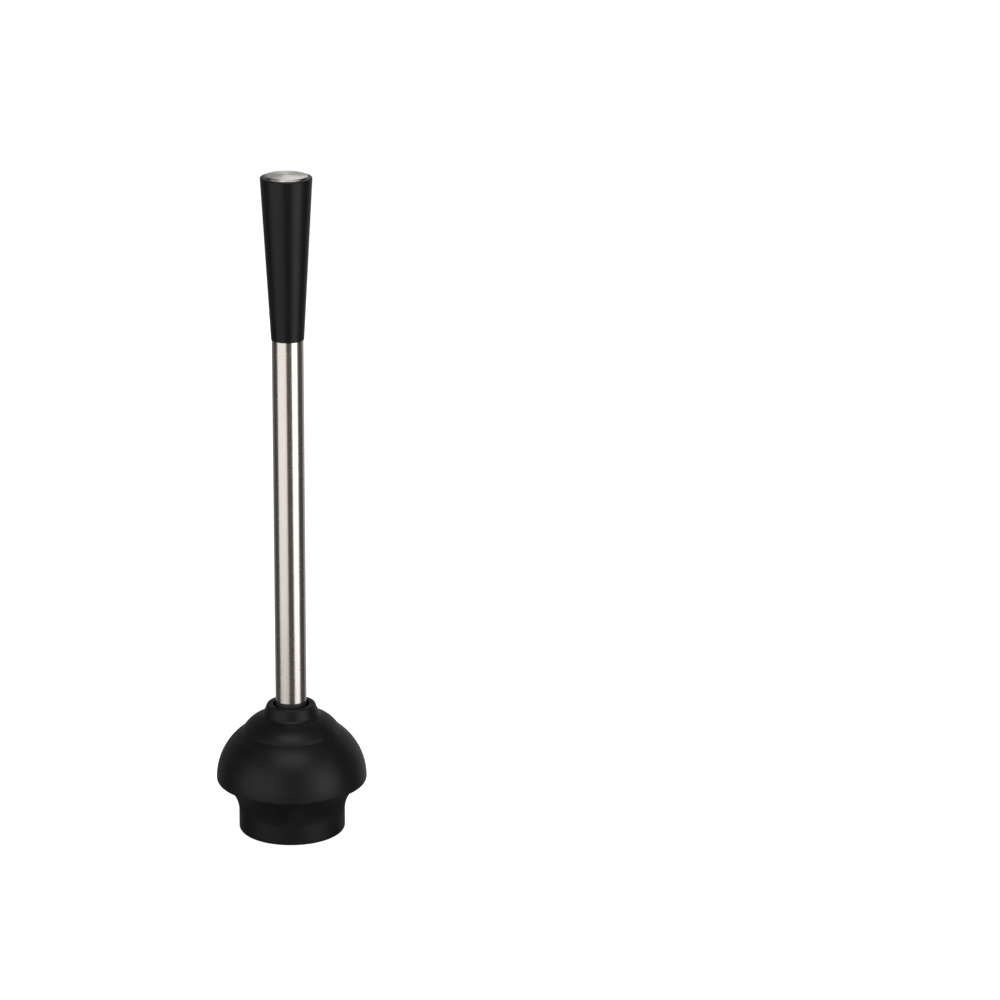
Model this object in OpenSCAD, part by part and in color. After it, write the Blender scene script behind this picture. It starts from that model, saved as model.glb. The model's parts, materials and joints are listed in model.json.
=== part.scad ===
// Toilet plunger: a two-lobed rubber cup with a fold-out flange, on a steel tube handle.
// The origin is the centre of the flange's foot, on the floor, and +Z runs up the handle.

/* [Overall] */
// Height from the floor to the crown of the end cap
total_h = 552; // [440:1:700]
// Length of the grip, from its foot to the crown of the end cap
grip_l = 134.5; // [100:0.5:180]

/* [Rubber cup] */
// Widest diameter of the bell
bell_d = 123.5; // [102:0.5:150]
// Height of the bell's widest line above the floor
bell_z = 45; // [37:0.5:54]
// Diameter at the crease between the two lobes
crease_d = 80.4; // [66:0.2:98]
// Height of the crease above the bell's widest line
crease_rise = 41; // [33:0.5:50]
// Diameter where the upper lobe meets the collar
collar_foot_d = 47.2; // [44:0.2:54]
// Height of the upper lobe, from the crease to the collar
lobe_h = 13; // [11:0.5:16]
// How far the upper lobe bows out from a straight cone
lobe_bow = 2.2; // [1:0.1:3]
// Wall of the collar round its recess, at the top
collar_wall = 5.3; // [4:0.1:6.4]
// Height of the collar
collar_h = 9.8; // [8:0.2:12]
// Thickness of the cup's wall
cup_wall = 3.6; // [2.6:0.1:4.6]
// Radius on the bell's lower lip
lip_r = 2.2; // [1:0.1:2.4]
// Radius on the collar's top edge
collar_edge_r = 1.5; // [0.6:0.1:2]

/* [Flange] */
// Outer diameter of the flange
flange_d = 87.2; // [72:0.2:105]
// Height of the flange's straight part
flange_h = 15.5; // [12:0.5:19]
// Thickness of the flange's wall
flange_wall = 4; // [3.3:0.1:4.8]
// Radius on the outside of the flange's foot
foot_r = 2.4; // [1:0.1:2.4]
// Radius on the inside of the flange's foot
foot_in_r = 0.6; // [0.3:0.1:0.8]

/* [Tube] */
// Outer diameter of the tube
tube_d = 25.4; // [20.5:0.1:30]
// Wall of the tube
tube_wall = 0.6; // [0.5:0.1:1.5]
// Length of the tube inside the grip
tube_in_grip = 58; // [45:1:80]
// Gap between the collar's top and the tube's foot
tube_lift = 3; // [2:0.5:6]
// Radial gap between the tube and the collar's recess
recess_gap = 2.1; // [1:0.1:2.6]

/* [Threaded plug and socket] */
// Outer diameter of the plug's thread
thread_d = 19; // [15.5:0.5:23]
// Pitch of the thread, one right-hand start
thread_pitch = 5; // [4:0.25:6]
// Depth of the thread
thread_depth = 1.9; // [1.2:0.1:2.2]
// Radial gap between the plug's thread and the socket's
thread_gap = 0.35; // [0.3:0.05:0.5]
// Turns that free the plug from the socket
thread_turns = 4; // [3:1:5]
// Wall of the socket outside its thread
socket_wall = 5; // [4:0.5:6]
// Height of the plug's shoulder, below the tube
shoulder_h = 10; // [7:0.5:13]
// Length of the plug inside the tube
spigot_l = 26; // [18:1:36]
// Wall of the plug's hollow spigot
spigot_wall = 3; // [2:0.5:4]
// Thickness of the seal ring
seal_h = 1.8; // [1.2:0.1:2.6]
// Face gap on each side of the seal ring
seal_face_gap = 0.1; // [0.05:0.01:0.2]
// Radial running gap between the seal ring and the plug
seal_run = 0.05; // [0.02:0.01:0.1]
// Rubber under the socket
socket_floor = 4; // [3:0.5:5]
// Rubber round the socket's flange
socket_side = 3; // [2:0.5:4]
// Radial gap round the seal ring, in the recess
seal_side_gap = 1.2; // [0.5:0.1:1.5]

/* [Grip] */
// Wall of the grip at its foot, round the tube
grip_lip = 0.5; // [0.4:0.1:3]
// Widest diameter of the grip, at its top
grip_top_d = 41.6; // [34:0.2:50]
// Radius on the grip's top edge
grip_edge_r = 0.8; // [0.4:0.1:1.2]
// Wall of the grip round its hollow
grip_wall = 3.2; // [2.4:0.1:4]
// Thickness of the web that rests on the tube
web_h = 5; // [3:0.5:7]

/* [End cap] */
// Width of the grip's rim round the disc
grip_rim = 3.1; // [2.4:0.1:4]
// Thickness of the end cap disc at its edge
cap_edge_h = 2.2; // [1.4:0.1:2.6]
// Rise of the disc's crown above its edge
cap_dome = 0.8; // [0.3:0.1:1.4]
// Height of the disc's edge above the grip's rim
cap_proud = 1.4; // [0:0.1:1.8]
// Radial gap round the disc
cap_gap = 0.1; // [0.05:0.01:0.3]
// Thickness of the seat's flange, under the disc
seat_flange_h = 1; // [0.8:0.1:2]
// Depth of the seat inside the grip
seat_depth = 9; // [6:0.5:14]

/* [Grip screw] */
// Diameter of the screw
screw_d = 4; // [3:0.5:5]
// Length of the screw below its washer
screw_l = 26; // [20:1:32]
// Length of the upper plug in the tube
upper_plug_l = 28; // [24:1:36]

/* [Hidden] */

rubber = [0.09, 0.09, 0.09];
plastic = [0.13, 0.13, 0.13];
steel = [0.75, 0.74, 0.72];
round_fn = 96;
// Sides of the thread's section, and slices in one turn of it
thread_fn = 24;
turn_slices = 12;

bell_r = bell_d / 2;
crease_r = crease_d / 2;
crease_z = bell_z + crease_rise;
collar_foot_r = collar_foot_d / 2;
collar_foot_z = crease_z + lobe_h;
collar_top_z = collar_foot_z + collar_h;
flange_r = flange_d / 2;
flange_in_r = flange_r - flange_wall;
tube_r = tube_d / 2;
tube_in_r = tube_r - tube_wall;
recess_r = tube_r + recess_gap;
collar_top_r = recess_r + collar_wall;

// The bell's wall is an arc that stands upright at the widest line and ends at the crease.
bell_arc_x = (bell_r * bell_r - crease_r * crease_r - crease_rise * crease_rise)
    / (2 * (bell_r - crease_r));
bell_arc_r = bell_r - bell_arc_x;
bell_arc_in_r = bell_arc_r - cup_wall;
crease_angle = atan2(crease_rise, crease_r - bell_arc_x);
// The crease ring takes the last stretch of that arc, and the fold the stretch below it.
ring_l = 3.5;
fold_l = 7;
ring_foot_angle = crease_angle - ring_l / bell_arc_r * 180 / PI;
fold_angle = ring_foot_angle - fold_l / bell_arc_r * 180 / PI;
// The inside of the bell meets the web this far above the widest line.
corner_rise = 4;
corner_angle = asin(corner_rise / bell_arc_in_r);

// The upper lobe is an arc over the chord from the crease to the collar's foot.
lobe_run = crease_r - collar_foot_r;
lobe_chord = sqrt(lobe_run * lobe_run + lobe_h * lobe_h);
lobe_arc_r = (lobe_chord * lobe_chord / 4 + lobe_bow * lobe_bow) / (2 * lobe_bow);
lobe_sink = lobe_arc_r - lobe_bow;
lobe_arc_x = (crease_r + collar_foot_r) / 2 - lobe_sink * lobe_h / lobe_chord;
lobe_arc_z = (crease_z + collar_foot_z) / 2 - lobe_sink * lobe_run / lobe_chord;
lobe_start = atan2(crease_z - lobe_arc_z, crease_r - lobe_arc_x);
lobe_end = atan2(collar_foot_z - lobe_arc_z, collar_foot_r - lobe_arc_x);
lobe_in_r = lobe_arc_r - cup_wall;
// The crease ring's share of this arc is as long as its share of the bell's.
ring_top_angle = lobe_start + ring_l / lobe_arc_r * 180 / PI;

// The web is an arc that leaves the flange upright and ends at the bell's lower lip. Its centre
// is outside the flange, at the height where the flange's straight part ends.
web_run = bell_r - lip_r - flange_r;
web_rise = bell_z - lip_r - flange_h;
web_arc_r = (web_run * web_run + web_rise * web_rise) / (2 * web_run);
web_arc_x = flange_r + web_arc_r;
web_angle = 2 * atan2(web_run, web_rise);
// The web's inner face leaves the arc this much earlier and runs straight to the bell.
web_in_angle = web_angle - 12;

tube_foot_z = collar_top_z + tube_lift;
grip_foot_z = total_h - grip_l;
tube_top_z = grip_foot_z + tube_in_grip;

shoulder_z = tube_foot_z - shoulder_h;
socket_top_z = shoulder_z - seal_h - 2 * seal_face_gap;
thread_l = thread_turns * thread_pitch;
plug_foot_z = socket_top_z - thread_l;
// The thread stops short of the socket's mouth, where the plug is a plain neck.
neck_l = 2.5;
thread_mid_r = (thread_d - thread_depth) / 2;
thread_shift = thread_depth / 2;
// The neck is cut a little below the thread's root, as a run-out groove.
neck_relief = 0.3;
plug_neck_r = thread_d / 2 - thread_depth - neck_relief;
// The socket goes on below the plug's foot by this much.
foot_gap = 2;
socket_foot_z = plug_foot_z - foot_gap;
socket_r = thread_d / 2 + thread_gap + socket_wall;
socket_flange_r = socket_r + 2;
socket_flange_h = 3;
boss_r = socket_flange_r + socket_side;
boss_foot_z = socket_foot_z - socket_floor;
// The inside of the lobe runs in to the boss at this angle on its own arc.
boss_angle = acos((boss_r - lobe_arc_x) / lobe_in_r);
seal_out_r = recess_r - seal_side_gap;
seal_in_r = plug_neck_r + seal_run;

cap_crown_z = total_h;
cap_edge_z = cap_crown_z - cap_dome;
cap_foot_z = cap_edge_z - cap_edge_h;
grip_top_r = grip_top_d / 2;
cap_r = grip_top_r - grip_rim - cap_gap;
// The disc's seat is a plug, under a flange this much wider.
seat_step = 1;
seat_r = cap_r - seat_step;
seat_foot_z = cap_foot_z - seat_flange_h - seat_depth;
// The grip's top edge is rounded, and its crown is just below the disc's edge.
grip_crown_z = cap_edge_z - cap_proud;
grip_wide_z = grip_crown_z - grip_edge_r;
grip_foot_r = tube_r + grip_lip;
web_top_z = tube_top_z + web_h;
washer_h = 1;
screw_r = screw_d / 2;
screw_hole_r = screw_r + 0.3;
head_r = 2 * screw_r;
head_h = 2.6;
head_z = web_top_z + washer_h;

// Points on an arc round [x, z], from angle a to angle b
function arc(x, z, r, a, b, n) = [for (i = [0:n]) on_arc(x, z, r, a + (b - a) * i / n)];
function on_arc(x, z, r, angle) = [x + r * cos(angle), z + r * sin(angle)];

// Outer radius of the grip at height z
function grip_r_at(z) = grip_foot_r
    + (grip_top_r - grip_foot_r) * (z - grip_foot_z) / (grip_wide_z - grip_foot_z);

module turned(points) {
    rotate_extrude($fn = round_fn) polygon(points);
}

module ring(out_r, in_r, foot_z, top_z) {
    translate([0, 0, foot_z]) difference() {
        cylinder(r = out_r, h = top_z - foot_z, $fn = round_fn);
        translate([0, 0, -1]) cylinder(r = in_r, h = top_z - foot_z + 2, $fn = round_fn);
    }
}

// A right-hand thread from z = 0 up: an off-centre circle that turns once in each pitch
module thread(r, length) {
    linear_extrude(height = length, twist = -360 * length / thread_pitch,
        slices = round(turn_slices * length / thread_pitch))
        translate([thread_shift, 0]) circle(r = r, $fn = thread_fn);
}

module end_cap() {
    edge = 1.2;
    dome_r = (cap_r * cap_r + cap_dome * cap_dome) / (2 * cap_dome);
    dome_angle = asin((cap_r - edge) / dome_r);
    color(steel) turned(concat(
        [[0, cap_foot_z], [cap_r, cap_foot_z]],
        arc(cap_r - edge, cap_edge_z - edge, edge, 0, 90, 5),
        arc(0, cap_crown_z - dome_r, dome_r, 90 - dome_angle, 90, 8)));
}

module cap_seat() {
    wall = 2;
    flange_z = cap_foot_z - seat_flange_h;
    color(plastic) turned([
        [0, cap_foot_z], [cap_r, cap_foot_z], [cap_r, flange_z], [seat_r, flange_z],
        [seat_r, seat_foot_z], [seat_r - wall, seat_foot_z], [seat_r - wall, flange_z - 1],
        [0, flange_z - 1]]);
}

module grip() {
    flange_z = cap_foot_z - seat_flange_h;
    // The hollow widens with the grip, and never past the seat's bore.
    hollow_foot_r = min(grip_r_at(web_top_z) - grip_wall, seat_r - 1);
    color(plastic) turned(concat(
        [[tube_r, grip_foot_z], [grip_foot_r, grip_foot_z]],
        arc(grip_top_r - grip_edge_r, grip_wide_z, grip_edge_r, 0, 90, 6),
        [[cap_r + cap_gap, grip_crown_z], [cap_r + cap_gap, flange_z], [seat_r, flange_z],
        [seat_r, seat_foot_z], [hollow_foot_r, web_top_z], [screw_hole_r, web_top_z],
        [screw_hole_r, tube_top_z], [tube_r, tube_top_z]]));
}

module grip_screw() {
    slot = 0.9;
    tip = 3;
    color(steel) difference() {
        turned(concat(
            [[0, head_z - washer_h - screw_l], [screw_r, head_z - washer_h - screw_l + tip],
            [screw_r, head_z], [head_r, head_z]],
            arc(head_r - 1.5, head_z + head_h - 1.5, 1.5, 0, 90, 5),
            [[0, head_z + head_h]]));
        for (turn = [0, 90]) rotate(turn)
            translate([-2.4, -slot / 2, head_z + 1]) cube([4.8, slot, head_h]);
    }
}

module screw_washer() {
    color(steel) ring(head_r + 1.5, screw_hole_r, web_top_z, head_z);
}

module upper_plug() {
    foot_z = tube_top_z - upper_plug_l;
    hole_z = web_top_z - screw_l - 1;
    color(plastic) translate([0, 0, foot_z]) difference() {
        cylinder(r = tube_in_r, h = upper_plug_l, $fn = round_fn);
        translate([0, 0, hole_z - foot_z]) cylinder(r = screw_r, h = upper_plug_l, $fn = round_fn);
    }
}

module tube() {
    color(steel) ring(tube_r, tube_in_r, tube_foot_z, tube_top_z);
}

module threaded_plug() {
    edge = 0.5;
    lead_slope = 0.8;
    floor_h = 4;
    neck_foot_z = socket_top_z - neck_l;
    color(plastic) union() {
        turned([
            [0, neck_foot_z], [plug_neck_r, neck_foot_z], [plug_neck_r, shoulder_z],
            [tube_r - edge, shoulder_z], [tube_r, shoulder_z + edge], [tube_r, tube_foot_z],
            [tube_in_r, tube_foot_z], [tube_in_r, tube_foot_z + spigot_l],
            [tube_in_r - spigot_wall, tube_foot_z + spigot_l],
            [tube_in_r - spigot_wall, tube_foot_z + floor_h], [0, tube_foot_z + floor_h]]);
        // The foot of the thread is turned to a cone, which leads it into the socket.
        intersection() {
            translate([0, 0, plug_foot_z]) rotate(360 * plug_foot_z / thread_pitch)
                thread(thread_mid_r, neck_foot_z - plug_foot_z + neck_l / 2);
            turned([
                [0, plug_foot_z], [plug_neck_r, plug_foot_z],
                [thread_d, plug_foot_z + lead_slope * (thread_d - plug_neck_r)],
                [thread_d, shoulder_z], [0, shoulder_z]]);
        }
    }
}

module seal_ring() {
    color(rubber) ring(seal_out_r, seal_in_r, shoulder_z - seal_face_gap - seal_h,
        shoulder_z - seal_face_gap);
}

module neck_insert() {
    color(plastic) difference() {
        turned([
            [0, socket_foot_z], [socket_flange_r, socket_foot_z],
            [socket_flange_r, socket_foot_z + socket_flange_h],
            [socket_r, socket_foot_z + socket_flange_h], [socket_r, socket_top_z],
            [0, socket_top_z]]);
        // The cut starts one pitch below the socket, so that it is in phase with the plug.
        translate([0, 0, socket_foot_z - thread_pitch])
            rotate(360 * (socket_foot_z - thread_pitch) / thread_pitch)
            thread(thread_mid_r + thread_gap, thread_l + foot_gap + 2 * thread_pitch);
    }
}

module cup_neck() {
    color(rubber) turned(concat(
        [[collar_foot_r, collar_foot_z]],
        arc(collar_top_r - collar_edge_r, collar_top_z - collar_edge_r, collar_edge_r, 0, 90, 5),
        [[recess_r, collar_top_z], [recess_r, socket_top_z], [socket_r, socket_top_z],
        [socket_r, socket_foot_z + socket_flange_h],
        [socket_flange_r, socket_foot_z + socket_flange_h],
        [socket_flange_r, socket_foot_z], [0, socket_foot_z], [0, boss_foot_z],
        [boss_r, boss_foot_z], on_arc(lobe_arc_x, lobe_arc_z, lobe_in_r, boss_angle)]));
}

module upper_lobe() {
    color(rubber) turned(concat(
        arc(lobe_arc_x, lobe_arc_z, lobe_arc_r, ring_top_angle, lobe_end, 10),
        arc(lobe_arc_x, lobe_arc_z, lobe_in_r, boss_angle, ring_top_angle, 10)));
}

module crease_ring() {
    color(rubber) turned(concat(
        arc(bell_arc_x, bell_z, bell_arc_r, ring_foot_angle, crease_angle, 2),
        arc(lobe_arc_x, lobe_arc_z, lobe_arc_r, lobe_start + 1, ring_top_angle, 3),
        arc(lobe_arc_x, lobe_arc_z, lobe_in_r, ring_top_angle, lobe_start, 3),
        arc(bell_arc_x, bell_z, bell_arc_in_r, crease_angle, ring_foot_angle, 2)));
}

module bell_fold() {
    color(rubber) turned(concat(
        arc(bell_arc_x, bell_z, bell_arc_r, fold_angle, ring_foot_angle, 4),
        arc(bell_arc_x, bell_z, bell_arc_in_r, ring_foot_angle, fold_angle, 4)));
}

module cup_bell() {
    color(rubber) turned(concat(
        arc(bell_r - lip_r, bell_z, lip_r, -90, 0, 5),
        arc(bell_arc_x, bell_z, bell_arc_r, 2, fold_angle, 16),
        arc(bell_arc_x, bell_z, bell_arc_in_r, fold_angle, corner_angle, 16)));
}

module flange_fold() {
    color(rubber) turned(concat(
        arc(web_arc_x, flange_h, web_arc_r, 180, 180 - web_angle, 14),
        [on_arc(bell_arc_x, bell_z, bell_arc_in_r, corner_angle)],
        arc(web_arc_x, flange_h, web_arc_r + flange_wall, 180 - web_in_angle, 180, 12)));
}

module cup_flange() {
    color(rubber) turned(concat(
        arc(flange_in_r + foot_in_r, foot_in_r, foot_in_r, 180, 270, 4),
        arc(flange_r - foot_r, foot_r, foot_r, -90, 0, 4),
        [[flange_r, flange_h], [flange_in_r, flange_h]]));
}

end_cap();
cap_seat();
grip();
grip_screw();
screw_washer();
upper_plug();
tube();
threaded_plug();
seal_ring();
neck_insert();
cup_neck();
upper_lobe();
crease_ring();
bell_fold();
cup_bell();
flange_fold();
cup_flange();
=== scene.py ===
# %% [markdown]
# # A toilet plunger, from its rubber cup to its steel end cap
# The plunger is a black rubber cup on a steel tube with a moulded grip. Nearly every piece is
# round about one upright axis, so one idea carries the lesson: draw half of the outline once,
# and turn it about the axis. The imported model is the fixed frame, and each new piece is put
# exactly where that frame says. Lengths are in metres and +Z runs up the handle.

# %% Load the frame
import json
import math

import bpy
import numpy as np
from mathutils import Matrix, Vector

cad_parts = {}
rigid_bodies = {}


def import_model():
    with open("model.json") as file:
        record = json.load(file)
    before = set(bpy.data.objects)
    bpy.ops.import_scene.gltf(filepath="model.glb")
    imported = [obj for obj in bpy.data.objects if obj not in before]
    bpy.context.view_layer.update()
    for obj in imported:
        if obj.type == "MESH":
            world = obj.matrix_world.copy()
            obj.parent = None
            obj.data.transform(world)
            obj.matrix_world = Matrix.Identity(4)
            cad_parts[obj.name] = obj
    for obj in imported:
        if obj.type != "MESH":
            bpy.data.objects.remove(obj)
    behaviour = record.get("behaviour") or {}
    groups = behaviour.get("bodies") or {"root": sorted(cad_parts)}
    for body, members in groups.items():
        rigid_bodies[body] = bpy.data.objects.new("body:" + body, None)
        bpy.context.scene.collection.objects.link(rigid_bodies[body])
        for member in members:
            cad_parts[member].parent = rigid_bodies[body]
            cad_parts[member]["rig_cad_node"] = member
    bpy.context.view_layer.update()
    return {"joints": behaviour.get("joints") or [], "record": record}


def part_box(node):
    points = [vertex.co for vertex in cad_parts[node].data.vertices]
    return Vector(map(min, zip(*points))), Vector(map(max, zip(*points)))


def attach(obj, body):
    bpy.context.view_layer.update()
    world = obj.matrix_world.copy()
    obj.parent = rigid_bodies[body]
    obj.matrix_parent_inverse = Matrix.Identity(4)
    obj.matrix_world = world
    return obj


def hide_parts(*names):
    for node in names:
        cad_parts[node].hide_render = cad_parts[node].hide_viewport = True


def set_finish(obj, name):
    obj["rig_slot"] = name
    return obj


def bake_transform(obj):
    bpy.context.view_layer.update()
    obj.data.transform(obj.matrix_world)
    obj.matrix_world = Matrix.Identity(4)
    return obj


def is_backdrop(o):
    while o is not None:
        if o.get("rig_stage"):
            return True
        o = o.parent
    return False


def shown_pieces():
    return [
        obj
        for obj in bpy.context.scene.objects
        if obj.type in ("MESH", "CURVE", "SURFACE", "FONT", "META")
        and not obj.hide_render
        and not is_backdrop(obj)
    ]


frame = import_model()
MM = 0.001

# %% [markdown]
# ## Measures
# A node's box gives its radius (its highest x) and the heights of its foot and top. Walls,
# rounded edges and gaps can't be read from a box, so they are named here in millimetres, with
# the values that the frame was made with.


# %% Heights and radii of the nodes
def foot(node):
    """Height of the node's lowest point."""
    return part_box(node)[0].z


def top(node):
    """Height of the node's highest point."""
    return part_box(node)[1].z


def radius(node):
    """Largest radius of the node about the handle's axis."""
    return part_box(node)[1].x


bell_r = radius("cup_bell")
flange_r = radius("cup_flange")
flange_top = top("cup_flange")
collar_top = top("cup_neck")
boss_foot = foot("cup_neck")
tube_r = radius("tube")
tube_foot = foot("tube")
tube_top = top("tube")
grip_foot = foot("grip")
grip_top = top("grip")
grip_foot_r = tube_r + 0.5 * MM
grip_top_r = radius("grip")
cap_r = radius("end_cap")
print("bell, flange, tube and grip radii, mm:",
      [round(r / MM, 2) for r in (bell_r, flange_r, tube_r, grip_top_r)])

# %% Walls, edges and angles of the cup
cup_wall = 3.6 * MM
lip_r = 2.2 * MM
bell_z = foot("cup_bell") + lip_r
crease_r = 40.2 * MM
crease_z = bell_z + 41 * MM
collar_foot_r = 23.6 * MM
collar_foot_z = crease_z + 13 * MM
lobe_bow = 2.2 * MM
collar_edge_r = 1.5 * MM
flange_wall = 4 * MM
recess_r = tube_r + 2.1 * MM
collar_top_r = recess_r + 5.3 * MM
recess_floor = top("neck_insert")

bell_arc_x = (bell_r**2 - crease_r**2 - (crease_z - bell_z) ** 2) / (2 * (bell_r - crease_r))
bell_arc_r = bell_r - bell_arc_x
crease_angle = math.degrees(math.atan2(crease_z - bell_z, crease_r - bell_arc_x))
corner_angle = math.degrees(math.asin(4 * MM / (bell_arc_r - cup_wall)))
print("the bell's wall is an arc of", round(bell_arc_r / MM, 2), "mm about a centre",
      round(bell_arc_x / MM, 2), "mm from the axis, and ends at", round(crease_angle, 1), "degrees")

# %% Centres of the upper lobe's arc and of the web's
lobe_run = crease_r - collar_foot_r
lobe_h = collar_foot_z - crease_z
lobe_chord = math.hypot(lobe_run, lobe_h)
lobe_arc_r = (lobe_chord**2 / 4 + lobe_bow**2) / (2 * lobe_bow)
lobe_sink = lobe_arc_r - lobe_bow
lobe_arc_x = (crease_r + collar_foot_r) / 2 - lobe_sink * lobe_h / lobe_chord
lobe_arc_z = (crease_z + collar_foot_z) / 2 - lobe_sink * lobe_run / lobe_chord
lobe_start = math.degrees(math.atan2(crease_z - lobe_arc_z, crease_r - lobe_arc_x))
lobe_end = math.degrees(math.atan2(collar_foot_z - lobe_arc_z, collar_foot_r - lobe_arc_x))

web_run = bell_r - lip_r - flange_r
web_rise = bell_z - lip_r - flange_top
web_arc_r = (web_run**2 + web_rise**2) / (2 * web_run)
web_arc_x = flange_r + web_arc_r
web_angle = math.degrees(2 * math.atan2(web_run, web_rise))
print("upper lobe: an arc of", round(lobe_arc_r / MM, 2), "mm; web: an arc of",
      round(web_arc_r / MM, 2), "mm through", round(web_angle, 1), "degrees")

# %% [markdown]
# ## The studio
# The camera stands a little right of the plunger and looks down at it with a long lens, so
# the upright lines stay nearly upright. Two tall softboxes, a broad one on the left and a
# narrower, brighter one on the right, draw the two long highlights on the tube and the grip.
# A third above the camera lights the shoulders of the cup, and a dim panel behind on each side
# gives the steel's edges something to reflect. The end cap faces up and back, so a small panel
# stands close behind it, where only the cap can mirror it. The floor is a plain pale sheet.

# %% Camera
LENS = 147.73
SENSOR = 36
CAMERA_PLACE = (0.17014, -3.1581, 1.2806)
CAMERA_DIP = 17.51
CAMERA_ROLL = 0.374

camera_data = bpy.data.cameras.new("camera")
camera_data.lens = LENS
camera_data.sensor_width = SENSOR
camera_data.clip_end = 50
camera = bpy.data.objects.new("camera", camera_data)
bpy.context.scene.collection.objects.link(camera)
camera.matrix_world = (
    Matrix.Translation(CAMERA_PLACE)
    @ Matrix.Rotation(math.radians(90 - CAMERA_DIP), 4, "X")
    @ Matrix.Rotation(math.radians(CAMERA_ROLL), 4, "Z"))
bpy.context.scene.camera = camera
bpy.context.scene.view_settings.view_transform = "Standard"
camera_azimuth = math.degrees(math.atan2(CAMERA_PLACE[0], -CAMERA_PLACE[1]))
print("the camera is", round(camera_azimuth, 1), "degrees right of straight ahead")


# %% Softboxes
def softbox(name, azimuth, distance, width, height, middle, brightness):
    """A rectangular light that faces the handle's axis. Azimuth is in degrees from straight
    ahead (-Y), to the right; middle is the height of its centre. It shines with the
    brightness times its area."""
    lamp = bpy.data.lights.new(name, "AREA")
    lamp.shape = "RECTANGLE"
    lamp.size = width
    lamp.size_y = height
    lamp.energy = brightness * width * height * math.pi
    box = bpy.data.objects.new(name, lamp)
    bpy.context.scene.collection.objects.link(box)
    turn = math.radians(azimuth)
    box.matrix_world = (
        Matrix.Translation((distance * math.sin(turn), -distance * math.cos(turn), middle))
        @ Matrix.Rotation(turn, 4, "Z")
        @ Matrix.Rotation(math.radians(90), 4, "X"))
    box.visible_camera = False
    return box


def width_for(degrees, distance):
    """Width that covers this angle, seen from the axis at this distance."""
    return 2 * distance * math.tan(math.radians(degrees / 2))


print("69 degrees at 1.3 m is", round(width_for(69, 1.3), 2), "m wide")

# %% The five lights round the handle
BOX_DISTANCE = 1.3
BOX_HEIGHT = 1.36
BOX_MIDDLE = 0.27
softbox("left_softbox", camera_azimuth - 46.5, BOX_DISTANCE, width_for(69, BOX_DISTANCE),
        BOX_HEIGHT, BOX_MIDDLE, 1.3)
softbox("right_softbox", camera_azimuth + 50, BOX_DISTANCE, width_for(42, BOX_DISTANCE),
        BOX_HEIGHT, BOX_MIDDLE, 2.2)

BACK_DISTANCE = 1.6
BACK_HEIGHT = 1.6
BACK_MIDDLE = 0.2
softbox("right_back_panel", camera_azimuth + 152, BACK_DISTANCE, width_for(56, BACK_DISTANCE),
        BACK_HEIGHT, BACK_MIDDLE, 0.4)
softbox("left_back_panel", camera_azimuth - 152, BACK_DISTANCE, width_for(50, BACK_DISTANCE),
        BACK_HEIGHT, BACK_MIDDLE, 0.17)

CAP_PANEL_DISTANCE = 0.6
CAP_PANEL_HEIGHT = 0.52
CAP_PANEL_RISE = 0.45
softbox("cap_panel", camera_azimuth + 172, CAP_PANEL_DISTANCE, width_for(26, CAP_PANEL_DISTANCE),
        CAP_PANEL_HEIGHT, grip_top + CAP_PANEL_RISE, 1.4)

# %% The softbox overhead, tipped to face the cup
OVERHEAD_DISTANCE = 1.2
OVERHEAD_WIDTH = 1.0
OVERHEAD_DEPTH = 0.5
OVERHEAD_RISE = 60
OVERHEAD_RIGHT = 0.05
OVERHEAD_AIM = 0.1
overhead = softbox("overhead_softbox", 0, OVERHEAD_DISTANCE, OVERHEAD_WIDTH, OVERHEAD_DEPTH, 0.0, 3.4)
rise = math.radians(OVERHEAD_RISE)
overhead.matrix_world = (
    Matrix.Translation((OVERHEAD_RIGHT, -OVERHEAD_DISTANCE * math.cos(rise),
                        OVERHEAD_AIM + OVERHEAD_DISTANCE * math.sin(rise)))
    @ Matrix.Rotation(math.radians(90 - OVERHEAD_RISE), 4, "X"))


# %% Helper: nodes and links in one line
def add(tree, kind, values=None, **settings):
    """A node of this kind in the tree. values sets input sockets by name or number."""
    node = tree.nodes.new(kind)
    for key, value in settings.items():
        setattr(node, key, value)
    for key, value in (values or {}).items():
        node.inputs[key].default_value = value
    return node


def join(tree, start, end):
    """Links an output socket to an input socket."""
    tree.links.new(start, end)


print("node helpers:", add.__name__, join.__name__)

# %% World: white to the eye, dim to the gloss
WORLD_SEEN = 1.0
WORLD_FILL = 0.3
WORLD_GLOSS = 0.07
world = bpy.data.worlds.new("studio")
bpy.context.scene.world = world
world.use_nodes = True
sky = world.node_tree
sky.nodes.clear()
paths = add(sky, "ShaderNodeLightPath")
fill = add(sky, "ShaderNodeMix", data_type="FLOAT")
fill.inputs[2].default_value = WORLD_FILL
fill.inputs[3].default_value = WORLD_GLOSS
seen = add(sky, "ShaderNodeMix", data_type="FLOAT")
seen.inputs[3].default_value = WORLD_SEEN
backdrop = add(sky, "ShaderNodeBackground", {"Color": (1, 1, 1, 1)})
sky_out = add(sky, "ShaderNodeOutputWorld")
join(sky, paths.outputs["Is Glossy Ray"], fill.inputs[0])
join(sky, paths.outputs["Is Camera Ray"], seen.inputs[0])
join(sky, fill.outputs[0], seen.inputs[2])
join(sky, seen.outputs[0], backdrop.inputs["Strength"])
join(sky, backdrop.outputs[0], sky_out.inputs["Surface"])
print("world: seen", WORLD_SEEN, "fill", WORLD_FILL, "gloss", WORLD_GLOSS)

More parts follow.
